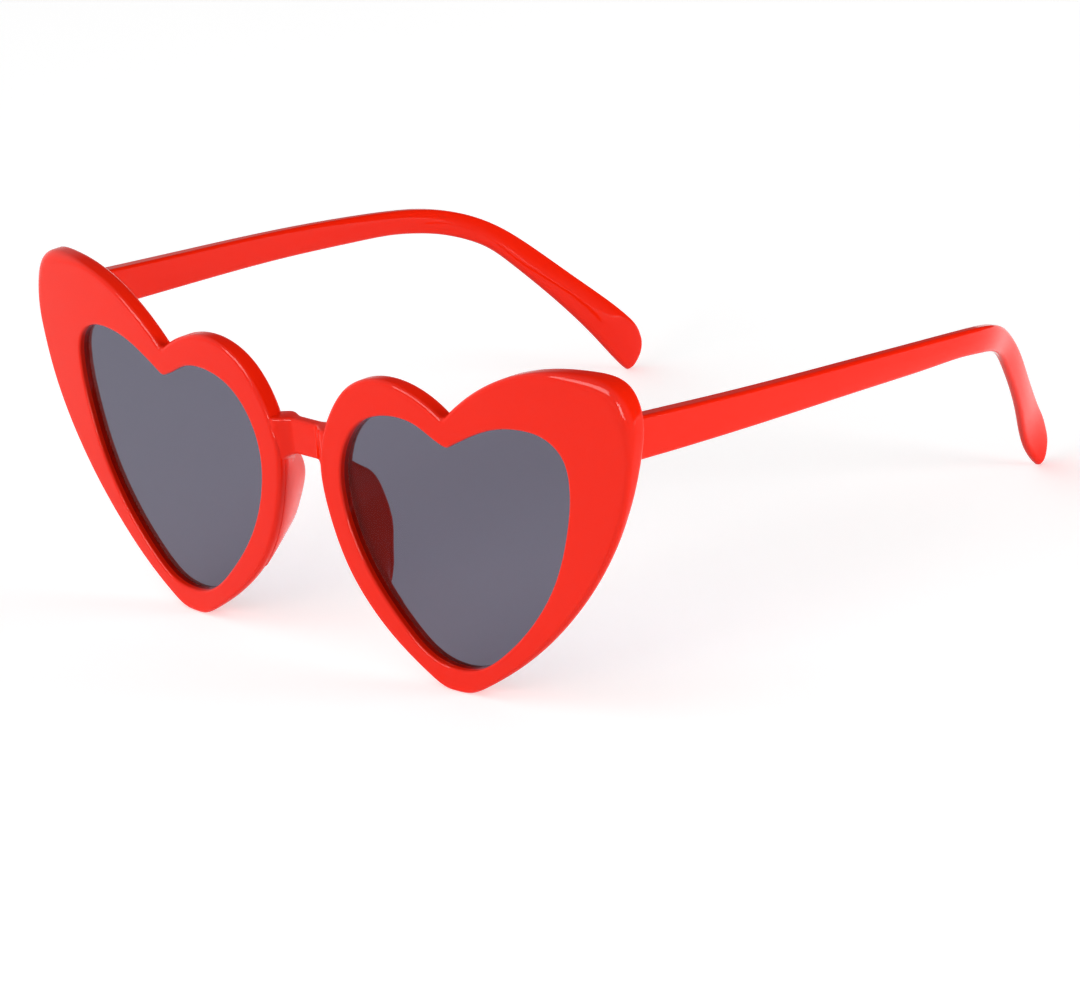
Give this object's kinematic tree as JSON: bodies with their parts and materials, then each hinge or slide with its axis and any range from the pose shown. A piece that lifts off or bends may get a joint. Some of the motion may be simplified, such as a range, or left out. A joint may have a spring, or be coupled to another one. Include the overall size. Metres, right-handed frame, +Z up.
{
  "type": "heart shaped sunglasses",
  "caption": "Sunglasses with a glossy red front of heart shaped rims, dark tinted lenses, moulded nose pads and folding temples with down-turned hooks.",
  "frame": {"origin": "on the table under the middle of the box round the open glasses, which stand on the two tips of the hearts and the two hook ends", "axes": "+Z up from the table, -Y the way the lenses face, +X to the right as seen from the front"},
  "size_m": [0.1494, 0.146, 0.0631],
  "materials": {
    "red_plastic": "glossy",
    "tinted_lens": "tinted, polished",
    "hinge_metal": "satin",
    "screw_metal": "bright"
  },
  "bodies": {
    "front": {"front_frame": "red_plastic", "lens_right": "tinted_lens", "lens_left": "tinted_lens", "front_leaf_right": "hinge_metal", "front_leaf_left": "hinge_metal", "hinge_screw_right": "screw_metal", "hinge_screw_left": "screw_metal"},
    "temple_right": {"temple_right": "red_plastic", "temple_leaf_right": "hinge_metal"},
    "temple_left": {"temple_left": "red_plastic", "temple_leaf_left": "hinge_metal"}
  },
  "joints": [
    {"name": "fold_right", "type": "hinge", "parent": "front", "child": "temple_right", "pos_m": [0.06835, -0.06167, 0.0517], "axis": [0, 0, 1], "range_deg": [0, 75]},
    {"name": "fold_left", "type": "hinge", "parent": "front", "child": "temple_left", "pos_m": [-0.06835, -0.06167, 0.0517], "axis": [0, 0, -1], "range_deg": [0, 84]}
  ]
}
